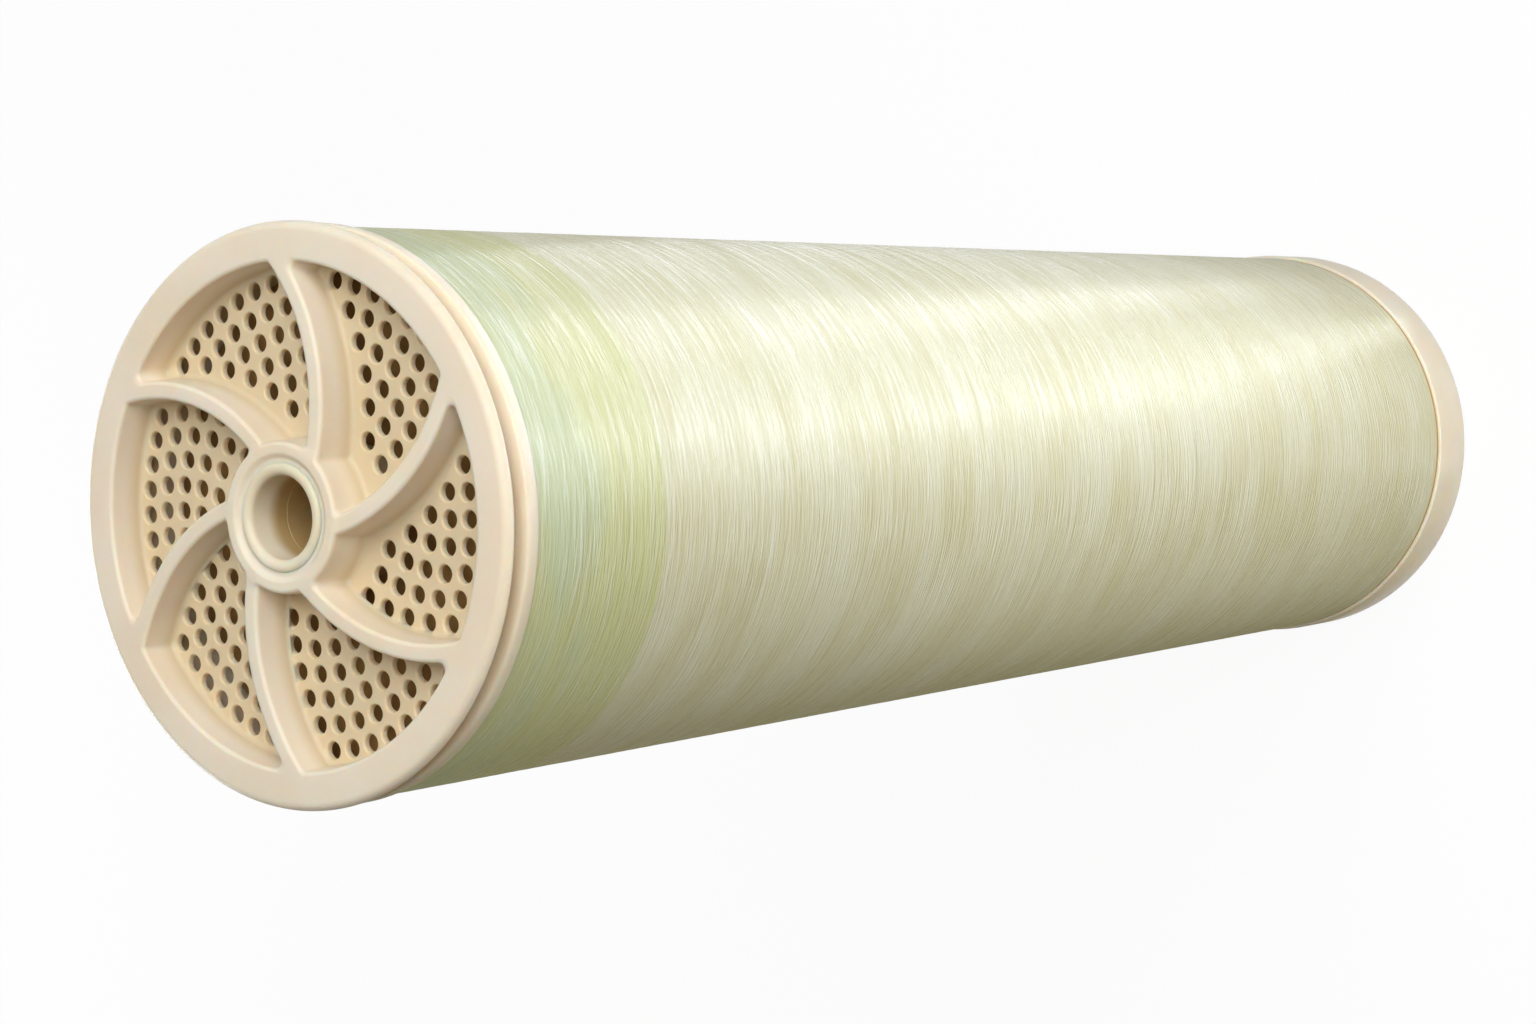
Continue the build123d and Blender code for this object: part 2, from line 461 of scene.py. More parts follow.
# %% [markdown]
# Seen from the side, the hub stands proud of the rim and the spokes run up to it. Raising the finished
# front by a curve of the distance from the axis gives that slope without a second set of outlines.

# %% Slope of the front towards the hub
slope_end = 70 * mm
hub_step = 0.6 * mm
hub_step_start = 0.6 * mm
hub_step_width = 2.2 * mm
border_margin = 0.01 * mm
level_tolerance = 0.001 * mm


def clamped(share):
    """A share kept between nothing and one."""
    return min(1, max(0, share))


def front_rise(radius):
    """How far the front stands above the rim at a distance from the axis."""
    edge = hub_radius - lip_round
    slope = clamped((radius - edge) / (slope_end - edge))
    step = eased(clamped((radius - edge - hub_step_start) / hub_step_width))
    return hub_rise - hub_step * step - (hub_rise - hub_step) * slope


def raise_front(mould):
    """Lifts the front and, fading with depth, the pocket walls."""
    inner_border = recess_radius + recess_slope - border_margin
    for vertex in mould.verts:
        radius = vertex.co.xy.length
        if inner_border < radius < slope_end and vertex.co.z > plate_height + level_tolerance:
            share = min(1, (vertex.co.z - plate_height) / plate_depth)
            vertex.co.z += front_rise(radius) * share


print("rise at the hub %.2f mm, half way %.2f mm" % (hub_rise / mm, front_rise(slope_end / 2) / mm))

# %% [markdown]
# A mould becomes a piece by the same few moves each time. The level faces that the outlines leave open
# are filled, the normals turn outwards, the faces are shaded smooth, and edges that stay crisp are
# marked. The fill wants roomy gaps between its points, so the mould is enlarged for it and brought back.

# %% Fill the level faces
fill_scale = 1000


def open_edges_at(mould, height):
    """Boundary edges that lie in one level plane."""
    return [
        edge
        for edge in mould.edges
        if edge.is_boundary and all(abs(vertex.co.z - height) < level_tolerance for vertex in edge.verts)
    ]


def fill_between(mould, border):
    """Fills a level face inside its outlines and returns the outlines."""
    bmesh.ops.scale(mould, vec=(fill_scale,) * 3, verts=mould.verts)
    bmesh.ops.triangle_fill(mould, edges=border, use_beauty=True, normal=(0, 0, 1))
    bmesh.ops.scale(mould, vec=(1 / fill_scale,) * 3, verts=mould.verts)
    return border


print("level faces are flat to %.3f mm" % (level_tolerance / mm))

# %% Turn a mould into a piece
crease_angle = radians(40)


def finish_piece(mould, name, crisp_edges=()):
    """Makes a smooth-shaded object at the origin, with crisp edges where they are listed or creased."""
    bmesh.ops.recalc_face_normals(mould, faces=mould.faces)
    for face in mould.faces:
        face.smooth = True
    for edge in mould.edges:
        edge.smooth = edge.calc_face_angle(0) < crease_angle
    for edge in crisp_edges:
        if edge.is_valid:
            edge.smooth = False
    loose = sum(1 for edge in mould.edges if not edge.is_manifold)
    mesh = bpy.data.meshes.new(name)
    mould.to_mesh(mesh)
    mould.free()
    piece = bpy.data.objects.new(name, mesh)
    bpy.context.scene.collection.objects.link(piece)
    mesh.calc_loop_triangles()
    print("%s: %d triangles, %d open edges" % (name, len(mesh.loop_triangles), loose))
    return piece


print("edges over %.0f degrees stay crisp" % degrees(crease_angle))

# %% [markdown]
# Now the feed cap comes together: the turned outside and the hub first, then six pockets, then the flat
# faces between them. Each pocket's floor is one level face until the pins go through it, because a fill
# round many holes at once can miss some.

# %% Build the blank of the feed cap
mould = bmesh.new()
spin_profile(mould, feed_rim_profile(), rim_spin_steps)
spin_profile(mould, feed_hub_profile(), hub_spin_steps)
middles = []
for spoke in range(spoke_count):
    floor_edges = sink_pocket(mould, spoke, pocket_rings(), feed_rim_corner, feed_hub_corner)
    bmesh.ops.contextual_create(mould, geom=floor_edges)
    middles += hole_places(spoke)
crisp = fill_between(mould, open_edges_at(mould, rim_height))
fill_between(mould, open_edges_at(mould, plate_back))
raise_front(mould)
blank = finish_piece(mould, "cap_blank", crisp)

# %% Cut the flow holes
def cut_away(blank, pins):
    """Takes one object out of another with a Boolean modifier and returns the result as a mould."""
    cut = blank.modifiers.new("pins", "BOOLEAN")
    cut.operation = "DIFFERENCE"
    cut.solver = "EXACT"
    cut.object = pins
    mould = bmesh.new()
    mould.from_object(blank, bpy.context.evaluated_depsgraph_get())
    for used in (blank, pins):
        bpy.data.objects.remove(used)
    return mould


def level_borders(mould, height):
    """Edges where a level face at one height meets anything else."""
    def level(face):
        return all(abs(vertex.co.z - height) < level_tolerance for vertex in face.verts)

    flat = {face for face in mould.faces if level(face)}
    return [edge for edge in mould.edges if sum(face in flat for face in edge.link_faces) == 1]


pins = finish_piece(core_pins(middles), "core_pins")
mould = cut_away(blank, pins)
crisp = [edge for edge in mould.edges if not edge.smooth]
crisp += level_borders(mould, plate_height)
feed_cap = finish_piece(mould, "feed_cap_moulding", crisp)
print("flow holes", len(middles))

# %% [markdown]
# The brine cap carries no seal, so its outside is one plain band. Its spokes are open right through and
# bear on the end of the roll. The same pocket outlines serve, extruded from the foot to the top of the
# skirt, so the two caps match as a pair of mouldings does.

# %% Sections of the brine cap
band_top = shell_low.z
foot_round = 2.5 * mm
foot_round_steps = 6
band_round = 1.2 * mm
brine_lip_steps = 3


def brine_rim_profile():
    """From the foot's outer border up the band and the skirt."""
    foot_middle = (flange_radius - foot_round, brine_low.z + foot_round)
    band_middle = (flange_radius - band_round, band_top - band_round)
    profile = rounded(foot_middle, foot_round, -90, 0, foot_round_steps)
    profile += rounded(band_middle, band_round, 0, 90, edge_round_steps)
    profile += [(skirt_radius, band_top), (skirt_radius, brine_high.z)]
    return profile


def brine_hub_profile():
    """From the foot's inner border into the recess and up the bore."""
    profile = [(recess_radius + recess_slope, brine_low.z)]
    profile += recess_slope_points(brine_low.z, 1)
    profile += [(hub_bore, brine_low.z + recess_depth), (hub_bore, brine_high.z)]
    return profile


def brine_rings():
    """(inset, height) of each ring of a brine pocket, from the foot to the top."""
    rings = []
    for turn in quarter_turns(brine_lip_steps):
        rings.append((lip_round * (sin(turn) - 1), brine_low.z + lip_round * (1 - cos(turn))))
    rings.append((0, brine_high.z))
    return rings


print("a brine pocket has %d rings and ends at %.4f" % (len(brine_rings()), brine_high.z))

# %% Build the brine cap
brine_rim_corner = 5 * mm
brine_hub_corner = 2.5 * mm

mould = bmesh.new()
spin_profile(mould, brine_rim_profile(), rim_spin_steps)
spin_profile(mould, brine_hub_profile(), hub_spin_steps)
for spoke in range(spoke_count):
    sink_pocket(mould, spoke, brine_rings(), brine_rim_corner, brine_hub_corner)
crisp = fill_between(mould, open_edges_at(mould, brine_low.z))
crisp += fill_between(mould, open_edges_at(mould, brine_high.z))
brine_cap = finish_piece(mould, "brine_cap_moulding", crisp)

# %% [markdown]
# The permeate tube runs the whole length. Only its lip and the first part of its bore can be seen, where
# a faint step marks the end of the machined seat for a connector. The lip is a fat bead that sits in the
# recess of the hub: a section with two elliptical quarters, spun once, gives it a soft crest.

# %% Section of the permeate tube
tube_bore = tube_radius - 3.7 * mm
bead_radius = tube_radius + 0.7 * mm
bead_crest = tube_radius - 1.1 * mm
bead_fall = 2.6 * mm
bead_seat_gap = 0.03 * mm
bead_steps = 7
seat_depth = 17 * mm
seat_step = 0.12 * mm


def bead_points(crest, seat, way):
    """Section of a lip that faces up or down, from its seat on the hub over the crest into the bore."""
    rise = abs(crest - seat)
    turns = quarter_turns(bead_steps)
    points = []
    for turn in turns:
        points.append((bead_crest + (bead_radius - bead_crest) * cos(turn), seat + way * rise * sin(turn)))
    for turn in turns[1:]:
        fall = bead_fall * (1 - cos(turn))
        points.append((bead_crest - (bead_crest - tube_bore) * sin(turn), crest - way * fall))
    return points


def tube_profile():
    """Closed section of the tube: up the outside, over the lip and down the bore."""
    high_seat = cap_high.z - recess_depth + bead_seat_gap
    low_seat = brine_low.z + recess_depth - bead_seat_gap
    high_step = tube_high.z - seat_depth
    low_step = tube_low.z + seat_depth
    profile = [(tube_radius, low_seat), (tube_radius, high_seat)]
    profile += bead_points(cap_high.z, high_seat, 1)
    profile += [(tube_bore, high_step), (tube_bore - seat_step, high_step - seat_step)]
    profile += [(tube_bore - seat_step, low_step + seat_step), (tube_bore, low_step)]
    profile += reversed(bead_points(tube_low.z, low_seat, -1))
    return profile + profile[:1]


print("the tube's section has %d points" % len(tube_profile()))

# %% Build the permeate tube
mould = bmesh.new()
spin_profile(mould, tube_profile(), hub_spin_steps)
bmesh.ops.remove_doubles(mould, verts=mould.verts, dist=level_tolerance)
tube = finish_piece(mould, "permeate_tube_turned")

# %% [markdown]
# The shell is resin and glass filament wound almost square to the axis. Its surface is a tube whose
# radius wanders by a few hundredths of a millimetre from one pass of the filament to the next, so light
# breaks up along it. Random steps would do, but a sum of waves whose lengths share no common measure
# looks as uneven and comes out the same on every run.

# %% Build the wound shell
shell_wall = 3 * mm
shell_spin_steps = 256
pass_width = 2.4 * mm
pass_relief = 0.05 * mm
pass_waves = ((1.0, 1.93, 0), (0.7, 0.71, 1), (0.5, 0.213, 2))
pass_wave_sum = sum(height for height, pitch, start in pass_waves)


def shell_profile():
    """Closed section of the shell, with a slightly uneven outside."""
    length = shell_high.z - shell_low.z
    passes = round(length / pass_width)
    profile = [(shell_radius - shell_wall, shell_high.z), (shell_radius - shell_wall, shell_low.z)]
    for number in range(passes + 1):
        height = shell_low.z + length * number / passes
        wander = sum(size * sin(number * pitch + start) for size, pitch, start in pass_waves)
        profile.append((shell_radius - pass_relief * (1 + wander / pass_wave_sum), height))
    return profile + profile[:1]


mould = bmesh.new()
spin_profile(mould, shell_profile(), shell_spin_steps)
bmesh.ops.remove_doubles(mould, verts=mould.verts, dist=level_tolerance)
shell = finish_piece(mould, "wound_shell")

# %% [markdown]
# Each piece rides on the one body that the element has and takes the place of its CAD node. The roll
# keeps its CAD solid: only dark glimpses of it show through the flow holes.

# %% Attach the pieces
for piece, node, slot in (
    (feed_cap, "feed_end_cap", "cap_plastic"),
    (brine_cap, "brine_end_cap", "cap_plastic"),
    (tube, "permeate_tube", "tube_plastic"),
    (shell, "fibreglass_shell", "fibreglass"),
):
    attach(piece, "root")
    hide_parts(node)
    print("%s stands for %s" % (piece.name, node))
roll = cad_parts["membrane_roll"]

# %% [markdown]
# Colours are easier to judge as the sRGB numbers that a colour picker shows, while shader sockets take
# linear light, so a helper converts. Nodes could be wired one line at a time, but a helper that takes
# values and links by socket name keeps each finish short enough to read.

# %% Colours and nodes
def linear(red, green, blue):
    """Linear colour for an sRGB colour given from 0 to 255."""
    shares = [channel / 255 for channel in (red, green, blue)]
    light = [share / 12.92 if share <= 0.04045 else ((share + 0.055) / 1.055) ** 2.4 for share in shares]
    return (*light, 1)


def new_finish(name):
    """A material, its node tree and its Principled shader."""
    finish = bpy.data.materials.new(name)
    finish.use_nodes = True
    tree = finish.node_tree
    return finish, tree, tree.nodes["Principled BSDF"]


def feed_socket(tree, socket, value):
    """Gives a socket a link if the value is another socket, or else a constant."""
    if isinstance(value, bpy.types.NodeSocket):
        tree.links.new(value, socket)
    else:
        socket.default_value = value


def add_node(tree, kind, inputs=(), **settings):
    """Adds a node, sets its properties and feeds its sockets."""
    node = tree.nodes.new(kind)
    for name, value in settings.items():
        setattr(node, name, value)
    for socket, value in dict(inputs).items():
        feed_socket(tree, node.inputs[socket], value)
    return node


print("middle grey is %.3f in linear light" % linear(128, 128, 128)[0])

# %% [markdown]
# Every pattern here reads Object coordinates, which are the same metres as the frame. Noise is stretched
# by a scale for each axis, so one texture serves for an even grain and for long streaks. The other
# helpers stretch a value to a range, mix two colours and do arithmetic.

# %% Patterns and mixes
def object_point(tree, scale, lean=0.0):
    """Object coordinates, leant about the X axis by some degrees and then stretched on each axis."""
    place = add_node(tree, "ShaderNodeTexCoord").outputs["Object"]
    turned = add_node(tree, "ShaderNodeMapping", {"Vector": place, "Rotation": (radians(lean), 0, 0)})
    stretched = add_node(tree, "ShaderNodeMapping", {"Vector": turned.outputs["Vector"], "Scale": scale})
    return stretched.outputs["Vector"]


def object_height(tree):
    """Height above the floor."""
    return add_node(tree, "ShaderNodeSeparateXYZ", {0: object_point(tree, (1, 1, 1))}).outputs["Z"]


def noise(tree, scale, detail=2, roughness=0.5, lean=0.0):
    """Value of a noise texture whose grain has a scale on each axis, in features per metre."""
    node = add_node(
        tree,
        "ShaderNodeTexNoise",
        {"Vector": object_point(tree, scale, lean), "Scale": 1, "Detail": detail, "Roughness": roughness},
    )
    return node.outputs["Fac"]


def ramp(tree, value, low, high, out_low=0.0, out_high=1.0):
    """A value stretched smoothly from one range to another."""
    node = add_node(
        tree,
        "ShaderNodeMapRange",
        {"Value": value, "From Min": low, "From Max": high, "To Min": out_low, "To Max": out_high},
        interpolation_type="SMOOTHSTEP",
    )
    return node.outputs["Result"]


def blend(tree, share, first, second):
    """A colour between two others."""
    node = add_node(tree, "ShaderNodeMix", data_type="RGBA")
    colour_a, colour_b = [socket for socket in node.inputs if socket.type == "RGBA"]
    for socket, value in ((node.inputs[0], share), (colour_a, first), (colour_b, second)):
        feed_socket(tree, socket, value)
    return [socket for socket in node.outputs if socket.type == "RGBA"][0]


def calculate(tree, operation, first, second):
    """One step of arithmetic on values."""
    return add_node(tree, "ShaderNodeMath", {0: first, 1: second}, operation=operation).outputs[0]


def bumped(tree, shader, height, strength, distance):
    """Lets a height roughen the surface that the shader sees."""
    bump = add_node(tree, "ShaderNodeBump", {"Height": height, "Strength": strength, "Distance": distance})
    tree.links.new(bump.outputs["Normal"], shader.inputs["Normal"])


print("pattern helpers ready")

# %% [markdown]
# The caps are ivory moulded plastic with a satin face. The colour drifts slightly across the moulding, a
# fine grain keeps the sheen from looking like glass, and light goes a few millimetres into the plastic,
# which subsurface scattering shows as a warm glow in the corners. Deep in the pockets, in the bore and
# inside the far cap the tone is painted browner, as painted shade for the recesses that light hardly
# reaches. A mask of height and distance from the axis paints that, so it stays put in any view.

# %% Moulded plastic
drift_scale = (22, 22, 22)
grain_scale = (900, 900, 900)
painted_shade_start = 5 * mm
painted_shade_border = 2 * mm
glow_depth = 4.5 * mm
glow_colour = (1.0, 0.55, 0.28)


def moulded_plastic(name, colour, warm_colour, painted_shade, painted_shade_depth, roughness):
    """Satin plastic that drifts between two colours, with painted shade deep inside the cap."""
    finish, tree, shader = new_finish(name)
    drift = ramp(tree, noise(tree, drift_scale, detail=3), 0.35, 0.65)
    level_point = object_point(tree, (1, 1, 0))
    reach = add_node(tree, "ShaderNodeVectorMath", {0: level_point}, operation="LENGTH").outputs["Value"]
    # Painted shade: the colour turns browner deep in the pockets and the bore, where little light falls.
    inside = ramp(tree, reach, pocket_radius + painted_shade_border, pocket_radius)
    deep = ramp(tree, object_height(tree), rim_height - painted_shade_start, rim_height - painted_shade_depth)
    painted_shade_mask = calculate(tree, "MULTIPLY", inside, deep)
    with_painted_shade = blend(tree, painted_shade_mask, blend(tree, drift, colour, warm_colour), painted_shade)
    tree.links.new(with_painted_shade, shader.inputs["Base Color"])
    bumped(tree, shader, noise(tree, grain_scale), strength=0.06, distance=0.4 * mm)
    shader.inputs["Roughness"].default_value = roughness
    shader.inputs["IOR"].default_value = 1.5
    shader.inputs["Specular IOR Level"].default_value = 0.3
    shader.inputs["Subsurface Weight"].default_value = 0.7
    shader.inputs["Subsurface Radius"].default_value = glow_colour
    shader.inputs["Subsurface Scale"].default_value = glow_depth
    print("%s has %d nodes" % (name, len(tree.nodes)))
    return finish


# %% Caps and tube
# The third colour of each plastic is painted shade for the pockets and the bore, not a stain.
cap_plastic = moulded_plastic(
    "cap_plastic",
    colour=linear(239, 227, 207),
    warm_colour=linear(236, 221, 197),
    painted_shade=linear(219, 199, 165),
    painted_shade_depth=13 * mm,
    roughness=0.38,
)
tube_plastic = moulded_plastic(
    "tube_plastic",
    colour=linear(238, 225, 202),
    warm_colour=linear(233, 217, 188),
    painted_shade=linear(186, 156, 106),
    painted_shade_depth=12 * mm,
    roughness=0.34,
)
feed_cap.data.materials.append(cap_plastic)
brine_cap.data.materials.append(cap_plastic)
tube.data.materials.append(tube_plastic)

# %% [markdown]
# The roll shows as brown film and mesh in the dark behind the plate. So little of it is seen that two
# browns mixed by a soft noise are enough to hint at its layers.

# %% Membrane roll
layer_scale = (60, 60, 12)
film_brown = linear(140, 104, 50)
mesh_brown = linear(172, 134, 76)

roll_finish, tree, shader = new_finish("membrane_layers")
layers = ramp(tree, noise(tree, layer_scale), 0.35, 0.65)
tree.links.new(blend(tree, layers, film_brown, mesh_brown), shader.inputs["Base Color"])
shader.inputs["Roughness"].default_value = 0.8
roll.data.materials.clear()
roll.data.materials.append(roll_finish)
print("%s has %d nodes" % (roll_finish.name, len(tree.nodes)))

# %% [markdown]
# Wound glass looks like fine streaks that run round the tube, because each strand lies almost square to
# the axis. A UV map would leave a seam, so noise on Object coordinates does it: squeezed along the axis,
# stretched across it, and leant a few degrees one way and the other, as the passes of a winder cross.

# %% Streaks of the wound glass
shell_finish, tree, shader = new_finish("wound_fibreglass")
strands = noise(tree, (24, 24, 900), detail=2, roughness=0.6, lean=4)
cross_strands = noise(tree, (22, 22, 760), detail=2, roughness=0.6, lean=-4)
long_strands = noise(tree, (14, 14, 480), detail=2, roughness=0.55, lean=0.6)
thin_strands = noise(tree, (20, 20, 1800), detail=2, roughness=0.5, lean=1)
clouds = noise(tree, (17, 17, 42), detail=3, roughness=0.55)
print("streak patterns take %d nodes" % len(tree.nodes))

# %% [markdown]
# Under the streaks the colour changes along the tube. The first passes at the feed end are a greener
# glass, more blue towards the rim, and the rest is cream and straw in soft clouds. At the far end a thin
# amber line is painted shade, where the shell meets the brine cap.

# %% Bands along the shell
cream = linear(219, 216, 187)
straw = linear(210, 205, 167)
leaf = linear(203, 204, 150)
sea = linear(193, 201, 161)
band_edge = rim_height - 84 * mm
band_blur = 2 * mm
sea_edge = rim_height - 50 * mm
sea_blur = (8 * mm, 6 * mm)

height = object_height(tree)
body = blend(tree, ramp(tree, clouds, 0.32, 0.68), straw, cream)
in_band = ramp(tree, height, band_edge - band_blur, band_edge + band_blur)
near_rim = ramp(tree, height, sea_edge - sea_blur[0], sea_edge + sea_blur[1])
green = blend(tree, near_rim, leaf, blend(tree, ramp(tree, clouds, 0.35, 0.6), leaf, sea))
banded = blend(tree, in_band, body, green)
print("green band starts at %.4f" % band_edge)

# %% Strands, resin and the painted shade at the joint
glass = linear(240, 240, 232)
resin = linear(174, 167, 112)
joint_shade_amber = linear(176, 134, 70)
lit_share = 0.3
gap_share = 0.3
filament_share = 0.45
joint_shade_heights = (shell_low.z + 2.2 * mm, shell_low.z + 1.0 * mm)

lit_one_way = ramp(tree, strands, 0.54, 0.7)
lit_other_way = ramp(tree, cross_strands, 0.56, 0.7)
lit_strands = calculate(tree, "MAXIMUM", lit_one_way, lit_other_way)
gaps = ramp(tree, long_strands, 0.48, 0.26)
filaments = ramp(tree, thin_strands, 0.6, 0.7)
streaked = banded
for mask, share, colour in (
    (lit_strands, lit_share, glass),
    (gaps, gap_share, resin),
    (filaments, filament_share, glass),
):
    streaked = blend(tree, calculate(tree, "MULTIPLY", mask, share), streaked, colour)
# Painted shade: a thin amber line darkens the shell where it meets the brine cap.
streaked = blend(tree, ramp(tree, height, *joint_shade_heights), streaked, joint_shade_amber)
tree.links.new(streaked, shader.inputs["Base Color"])
print("colour of the shell takes %d nodes" % len(tree.nodes))

# %% [markdown]
# Resin over fine parallel strands has a brushed gloss: a highlight spreads along the tube and stays
# narrow round it. Anisotropy gives that, with a tangent that runs round the axis and then takes a quarter
# turn. The strands also stand out a little, and they are glossier than the resin between them.

# %% Relief and gloss of the shell
relief = calculate(tree, "ADD", strands, cross_strands)
bumped(tree, shader, relief, strength=0.5, distance=0.9 * mm)
around = add_node(tree, "ShaderNodeTangent", direction_type="RADIAL", axis="Z")
tree.links.new(around.outputs["Tangent"], shader.inputs["Tangent"])
gloss = ramp(tree, relief, 0.85, 1.2, out_low=0.44, out_high=0.24)
tree.links.new(gloss, shader.inputs["Roughness"])
shader.inputs["Anisotropic"].default_value = 0.9
shader.inputs["Anisotropic Rotation"].default_value = 0.25
shader.inputs["IOR"].default_value = 1.42
shader.inputs["Specular IOR Level"].default_value = 0.5
shell.data.materials.append(shell_finish)
print("%s has %d nodes" % (shell_finish.name, len(tree.nodes)))

# %% [markdown]
# The element stands on a plain pale floor. Camera and reflected rays see the floor and the surroundings
# as near white, while the floor keeps the element's shadow and throws back less light than white card
# would, so that the shaded side stays shaded.

# %% Floor
floor_size = 14
white_share = 0.93
bounce_colour = linear(120, 111, 84)
card_white = (0.95, 0.95, 0.95, 1)
full_white = (1, 1, 1, 1)


def bare_tree(owner):
    """An empty node tree for a material or a world."""
    owner.use_nodes = True
    owner.node_tree.nodes.clear()
    return owner.node_tree


def seen_directly(tree):
    """One for camera, mirror and see-through rays, and nothing for light that bounces."""
    path = add_node(tree, "ShaderNodeLightPath")
    seen = calculate(tree, "MAXIMUM", path.outputs["Is Camera Ray"], path.outputs["Is Glossy Ray"])
    return calculate(tree, "MAXIMUM", seen, path.outputs["Is Transmission Ray"])


def mixed_surface(tree, share, first, second, output):
    """Mixes two shaders into the tree's output."""
    mixed = add_node(tree, "ShaderNodeMixShader", {0: share, 1: first.outputs[0], 2: second.outputs[0]})
    add_node(tree, output, {"Surface": mixed.outputs[0]})


bpy.ops.mesh.primitive_plane_add(size=floor_size)
floor = bpy.context.object
floor.name = "studio_floor"
floor_finish = bpy.data.materials.new("studio_floor")
tree = bare_tree(floor_finish)
seen = seen_directly(tree)
white = add_node(tree, "ShaderNodeEmission", {"Color": full_white, "Strength": 1})
matte = add_node(tree, "ShaderNodeBsdfDiffuse", {"Color": blend(tree, seen, bounce_colour, card_white)})
share = calculate(tree, "MULTIPLY", seen, white_share)
mixed_surface(tree, share, matte, white, "ShaderNodeOutputMaterial")
floor.data.materials.append(floor_finish)
print("floor is %d m across" % floor_size)

# %% Surroundings
fill_colour = (1, 0.93, 0.74, 1)
fill_strength = 0.12

world = bpy.data.worlds.new("studio")
bpy.context.scene.world = world
tree = bare_tree(world)
fill = add_node(tree, "ShaderNodeBackground", {"Color": fill_colour, "Strength": fill_strength})
open_white = add_node(tree, "ShaderNodeBackground", {"Color": full_white, "Strength": 1})
mixed_surface(tree, seen_directly(tree), fill, open_white, "ShaderNodeOutputWorld")
print("surroundings fill with a strength of %.2f" % fill_strength)

# %% [markdown]
# The camera stands where the photograph was taken from: in front of the feed face and to one side,
# turned so that the axis runs across the picture. Its place, aim and lens come from fitting the two end
# circles and the outline. Its upright is square to the X axis, which sets the roll.

# %% Camera
camera_place = Vector((0.72661, 0.03959, 1.47204))
camera_aim = Vector((0, -0.01291, 0.48507))
sensor_width = 36
lens = 69.3

camera_data = bpy.data.cameras.new("photo_camera")
camera_data.sensor_width = sensor_width
camera_data.lens = lens
camera_back = (camera_place - camera_aim).normalized()
camera_up = camera_back.cross(Vector((1, 0, 0))).normalized()
camera_right = camera_up.cross(camera_back)
turn = Matrix((camera_right, camera_up, camera_back)).transposed()
camera = bpy.data.objects.new("photo_camera", camera_data)
camera.matrix_world = Matrix.Translation(camera_place) @ turn.to_4x4()
bpy.context.scene.collection.objects.link(camera)
bpy.context.scene.camera = camera
bpy.context.scene.view_settings.view_transform = "Standard"
print("camera looks from %.2f m away" % (camera_place - camera_aim).length)

# %% [markdown]
# Soft boxes light the element from low down, from the side, from above the feed face and from behind.
# They are area lamps, because a large lamp gives the soft shadows of a studio. The camera doesn't see
# them.

# %% Soft boxes
lamp_colour = (0.95, 0.975, 1.0)


def beside(bearing, distance, height):
    """A place at a bearing round the axis, in degrees."""
    return Vector((distance * cos(radians(bearing)), distance * sin(radians(bearing)), height))


def area_lamp(name, place, size, power, colour=lamp_colour):
    """A rectangular lamp that the camera doesn't see."""
    lamp = bpy.data.lights.new(name, "AREA")
    lamp.shape = "RECTANGLE"
    lamp.size, lamp.size_y = size
    lamp.energy = power
    lamp.color = colour
    box = bpy.data.objects.new(name, lamp)
    box.location = place
    box.visible_camera = False
    bpy.context.scene.collection.objects.link(box)
    print("%s: %.2f W" % (name, power))
    return box


def soft_box(name, place, aim_height, size, power):
    """A lamp that faces the axis at some height."""
    box = area_lamp(name, place, size, power)
    aim = Vector((0, 0, aim_height))
    box.rotation_euler = (place - aim).to_track_quat("Z", "Y").to_euler()


soft_box("low_box", beside(2, 1.0, 0.25), aim_height=0.2, size=(0.9, 0.4), power=5.2)
soft_box("side_box", beside(40, 2.0, 0.4), aim_height=0.2, size=(0.9, 0.75), power=2.5)
soft_box("front_box", Vector((0.95, 0.95, 2.4)), aim_height=0.7, size=(1.8, 1.8), power=54)
soft_box("back_box", beside(192, 2.2, 0.48), aim_height=0.4, size=(1.6, 0.5), power=24)

# %% [markdown]
# From the camera the glossy shell mirrors the floor beside it, so its highlights are lamps that lie there
# and show in reflections only. Two wide panels make the white sheen of the lit half, and narrow strips
# draw bright lines along the tube. A strip lies where a chosen line of the shell mirrors it to the camera.

# %% Sheen panels
sheen_colour = (0.86, 0.93, 1.0)
panel_bearing = -11
panel_lift = 3 * mm


def floor_glow(name, middle, turn, size, glow, colour):
    """A lamp of some brightness that lies face up on the floor and shows in reflections only."""
    lamp = area_lamp(name, middle, size, glow * pi * size[0] * size[1], colour)
    lamp.rotation_euler = (pi, 0, turn)
    lamp.visible_diffuse = False


def sheen_panel(name, gap, size, shift, glow):
    """A wide panel with one long edge close to the axis."""
    along = beside(panel_bearing, 1, 0)
    across = beside(panel_bearing + 90, 1, 0)
    middle = along * shift + across * (gap + size[1] / 2) + Vector((0, 0, panel_lift))
    floor_glow(name, middle, radians(panel_bearing), size, glow, sheen_colour)


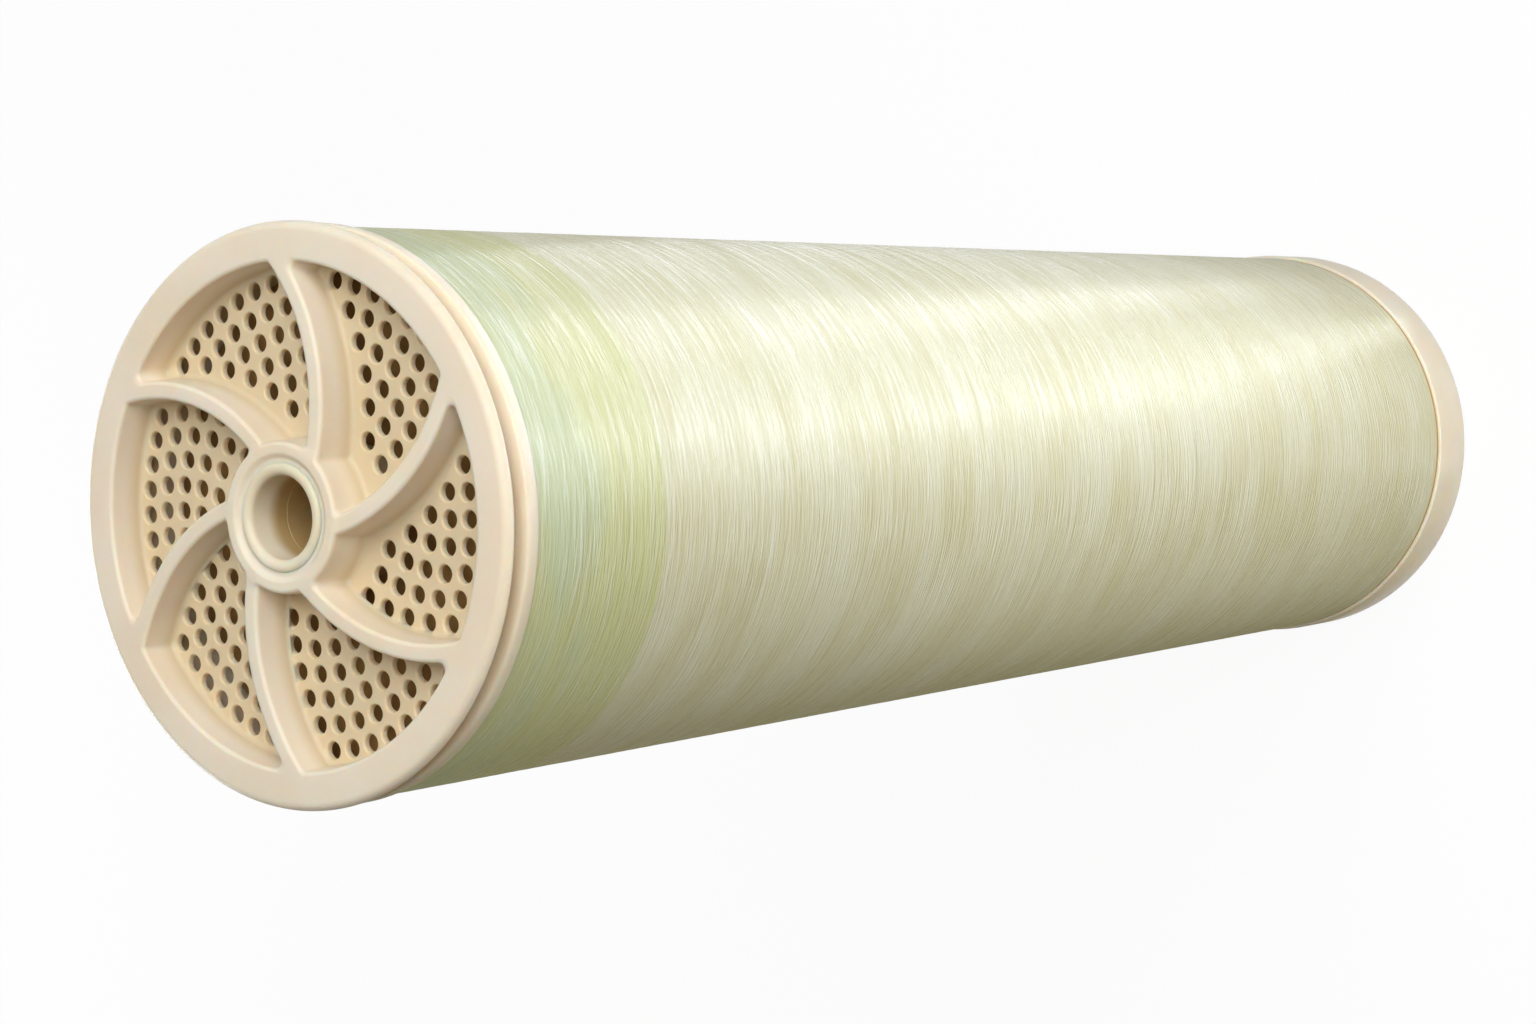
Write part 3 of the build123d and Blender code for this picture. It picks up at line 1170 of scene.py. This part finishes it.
sheen_panel("sheen_panel", gap=0.14, size=(0.9, 0.9), shift=0.57, glow=6)
sheen_panel("edge_panel", gap=0.22, size=(0.6, 0.9), shift=-0.18, glow=2)

# %% Streak strips
strip_lift = 4 * mm


def floor_strip(name, normal_bearing, near, far, width, glow):
    """A strip that the shell mirrors to the camera where it faces one bearing."""
    start = beside(normal_bearing, shell_radius, 0)
    sight = camera_place - start
    mirrored = 2 * radians(normal_bearing) - atan2(sight.y, sight.x)
    way = Vector((cos(mirrored), sin(mirrored), 0))
    middle = start + way * (near + far) / 2 + Vector((0, 0, strip_lift))
    floor_glow(name, middle, mirrored, (far - near, width), glow, lamp_colour)


floor_strip("near_streak", normal_bearing=39, near=0.26, far=0.8, width=0.09, glow=10)
floor_strip("far_streak", normal_bearing=33, near=0.09, far=0.26, width=0.04, glow=1)
floor_strip("foot_streak", normal_bearing=33, near=0.02, far=0.09, width=0.02, glow=4)
floor_strip("low_streak", normal_bearing=15, near=0.3, far=0.8, width=0.07, glow=6)

# %% [markdown]
# A photographer darkens the shaded side of a glossy tube with a card that the tube mirrors. The same is
# done here: a fan of warm dark card lies round the shaded side and shows in reflections only. It neither
# blocks light nor hides the floor.

# %% Shade card
shade_colour = linear(165, 156, 96)
card_bearing = radians(panel_bearing)
card_turn = radians(-165)
card_steps = 40
card_reach = 1.3
card_gap = 4 * mm
card_lift = 2 * mm

mould = bmesh.new()
inner = mould.verts.new((*polar(flange_radius + card_gap, card_bearing), card_lift))
outer = mould.verts.new((*polar(card_reach, card_bearing), card_lift))
fold = mould.edges.new((inner, outer))
bmesh.ops.spin(
    mould,
    geom=[inner, outer, fold],
    cent=(0, 0, 0),
    axis=(0, 0, 1),
    angle=card_turn,
    steps=card_steps,
)
card = finish_piece(mould, "shade_card")
card_finish = bpy.data.materials.new("shade_card")
tree = bare_tree(card_finish)
dim = add_node(tree, "ShaderNodeEmission", {"Color": shade_colour, "Strength": 1})
add_node(tree, "ShaderNodeOutputMaterial", {"Surface": dim.outputs[0]})
card.data.materials.append(card_finish)
card.visible_camera = False
card.visible_diffuse = False
card.visible_transmission = False
card.visible_shadow = False
